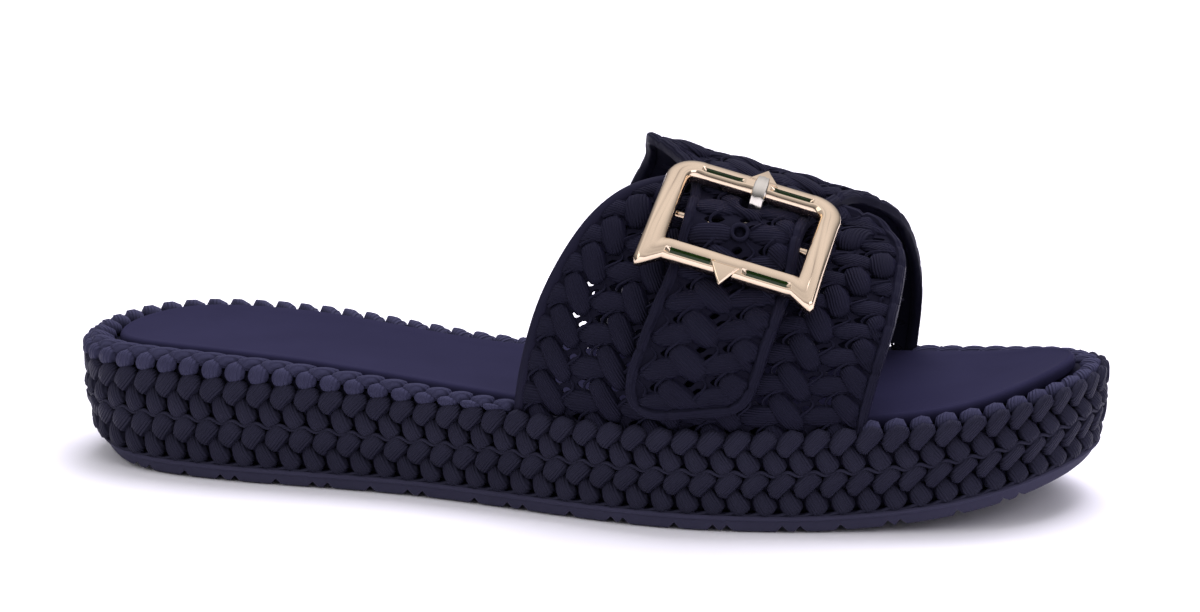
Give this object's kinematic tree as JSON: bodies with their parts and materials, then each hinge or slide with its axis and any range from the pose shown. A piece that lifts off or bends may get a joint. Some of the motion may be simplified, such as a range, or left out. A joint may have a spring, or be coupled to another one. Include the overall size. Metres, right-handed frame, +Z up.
{
  "type": "slide sandal",
  "caption": "Right slide sandal with a braided platform sole, a wide woven strap in two lapped halves and a square prong buckle.",
  "frame": {"origin": "bottom centre of the bounding box, on the floor under the middle of the sole", "axes": "+X towards the toe, -Y towards the outer side of the right foot, +Z up"},
  "size_m": [0.2672, 0.099, 0.0892],
  "materials": {
    "outsole_rubber": "matte",
    "braid_rubber": "matte",
    "footbed_foam": "matte",
    "strap_rubber": "matte",
    "gold_metal": "polished"
  },
  "bodies": {
    "root": {"outsole": "outsole_rubber", "midsole": "braid_rubber", "footbed": "footbed_foam", "upper": "strap_rubber", "buckle_frame": "gold_metal", "buckle_prong": "gold_metal"}
  },
  "joints": []
}
